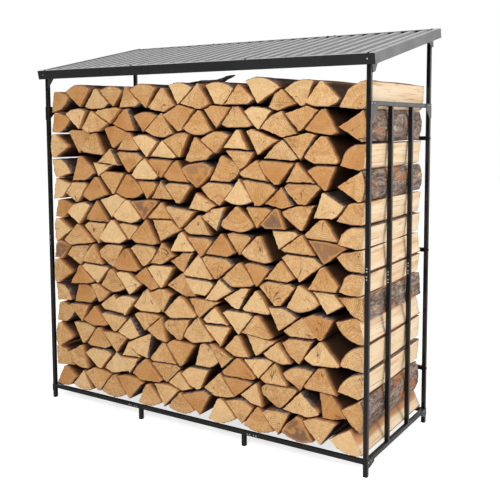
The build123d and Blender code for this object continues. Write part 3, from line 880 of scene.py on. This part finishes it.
def trimScrews():
    lean = radians(roofFixings["slope"])
    rows = ((roofFixings["front"], roofFixings["edge"]),
            (roofFixings["back"], roofFixings["length"] - roofFixings["edge"]))
    places = [onRoof(x, along, roofFixings["fascia"]) for row, along in rows for x in row]
    return places, [(0, -sin(lean), cos(lean))] * len(places)


makeHeads("splice_bolts", boltLook, *spliceBolts(), zinc, "sleeve_steel")
makeHeads("gusset_bolts", boltLook, *gussetBolts(), zinc, "sleeve_steel")
makeHeads("rail_bolts", railBoltLook, *railBolts(), frameSteel, "frame_steel")
makeHeads("fascia_bolts", boltLook, *fasciaBolts(), zinc, "sleeve_steel")
makeHeads("trim_screws", roofScrewLook, *trimScrews(), roofSteel, "roof_steel")


# finishes of the frame

finishes = {"splice_sleeves": zinc, "foot_caps": footPlastic, "roof_sheet": sheetSteel}


def finishOf(name):
    return roofSteel if name.endswith("_trim") else finishes.get(name, frameSteel)


for name, node in nodes.items():
    if not name.startswith("firewood"):
        for place in node.material_slots:
            place.material = finishOf(name)
print("frame finished")


# floor, light and camera

white = (1, 1, 1, 1)
floorLook = {"size": 30.0, "colour": (0.86, 0.86, 0.86, 1), "roughness": 0.9, "cameraGlow": 0.74}
# ambient lights the object; shade is what gloss mirrors from the front of the room, white from behind it
roomLook = {"ambient": 0.36, "shade": 0.10, "turn": (-0.75, 0.15)}
lamps = {"keyFront": {"place": (1.5, -4.4, 3.4), "aim": (0, 0, 0.8), "size": 2.2, "watts": 146.0},
         "sideRight": {"place": (4.4, 0.2, 2.2), "aim": (0.9, 0, 0.9), "size": 3.0, "watts": 74.0},
         "rimBack": {"place": (3.4, 4.0, 1.5), "aim": (0.9, 0, 0.9), "size": 2.2, "watts": 16.0},
         "topSoft": {"place": (0.3, -1.4, 4.6), "aim": (0, 0, 1.0), "size": 2.5, "watts": 34.0}}
cameraLook = {"place": (2.1242, -3.1947, 1.4477), "yaw": 32.22, "pitch": -4.975, "roll": -0.185,
              "lens": 55.75, "sensor": 36, "shift": -0.12}


def makeFloor(look):
    half = look["size"] / 2
    mesh = bpy.data.meshes.new("floor")
    corners = [(-half, -half, 0), (half, -half, 0), (half, half, 0), (-half, half, 0)]
    mesh.from_pydata(corners, [], [(0, 1, 2, 3)])
    floor = bpy.data.objects.new("floor", mesh)
    bpy.context.scene.collection.objects.link(floor)
    settings = {"Roughness": look["roughness"], "Base Color": look["colour"], "Emission Color": white}
    material, tree, surface = finishMaterial("floorWhite", settings)
    seen = shader(tree, "LightPath").outputs["Is Camera Ray"]
    tree.links.new(times(tree, seen, look["cameraGlow"]), surface.inputs["Emission Strength"])
    mesh.materials.append(material)


def makeWorld(look):
    # white where it is seen; as a reflection white behind the rack and dark before it, as in a studio
    world = bpy.data.worlds.new("studio")
    bpy.context.scene.world = world
    world.use_nodes = True
    tree = world.node_tree
    sky = tree.nodes["Background"]
    sky.inputs["Color"].default_value = white
    sky.inputs["Strength"].default_value = look["ambient"]
    axes = axesOf(tree, shader(tree, "TexCoord").outputs["Generated"])
    behind = band(tree, axes["Y"], *look["turn"], look["shade"], 1.0)
    rays = shader(tree, "LightPath").outputs
    glossy = calc(tree, "MAXIMUM", rays["Is Glossy Ray"], rays["Is Transmission Ray"])
    bright = shader(tree, "Background", {"Color": white, "Strength": 1.0})
    room = shader(tree, "Background", {"Color": white, "Strength": behind})
    mirrored = shader(tree, "MixShader", {0: glossy, 1: sky.outputs[0], 2: room.outputs[0]}).outputs[0]
    seen = shader(tree, "MixShader", {0: rays["Is Camera Ray"], 1: mirrored, 2: bright.outputs[0]})
    tree.links.new(seen.outputs[0], tree.nodes["World Output"].inputs["Surface"])


def makeLamp(name, look):
    data = bpy.data.lights.new(name, "AREA")
    data.size = look["size"]
    data.energy = look["watts"]
    lamp = bpy.data.objects.new(name, data)
    lamp.location = look["place"]
    way = Vector(np.subtract(look["aim"], look["place"]).tolist())
    lamp.rotation_euler = way.to_track_quat("-Z", "Y").to_euler()
    bpy.context.scene.collection.objects.link(lamp)


def makeCamera(look):
    data = bpy.data.cameras.new("camera")
    data.lens = look["lens"]
    data.sensor_width = look["sensor"]
    data.shift_y = look["shift"]
    camera = bpy.data.objects.new("camera", data)
    turns = (("Z", look["yaw"]), ("X", 90 + look["pitch"]), ("Z", look["roll"]))
    yaw, pitch, roll = (Matrix.Rotation(radians(degrees), 4, axis) for axis, degrees in turns)
    camera.matrix_world = Matrix.Translation(look["place"]) @ (yaw @ pitch @ roll)
    bpy.context.scene.collection.objects.link(camera)
    bpy.context.scene.camera = camera


makeFloor(floorLook)
makeWorld(roomLook)
for name, look in lamps.items():
    makeLamp(name, look)
makeCamera(cameraLook)
bpy.context.scene.view_settings.view_transform = "Standard"
print("light and camera set")
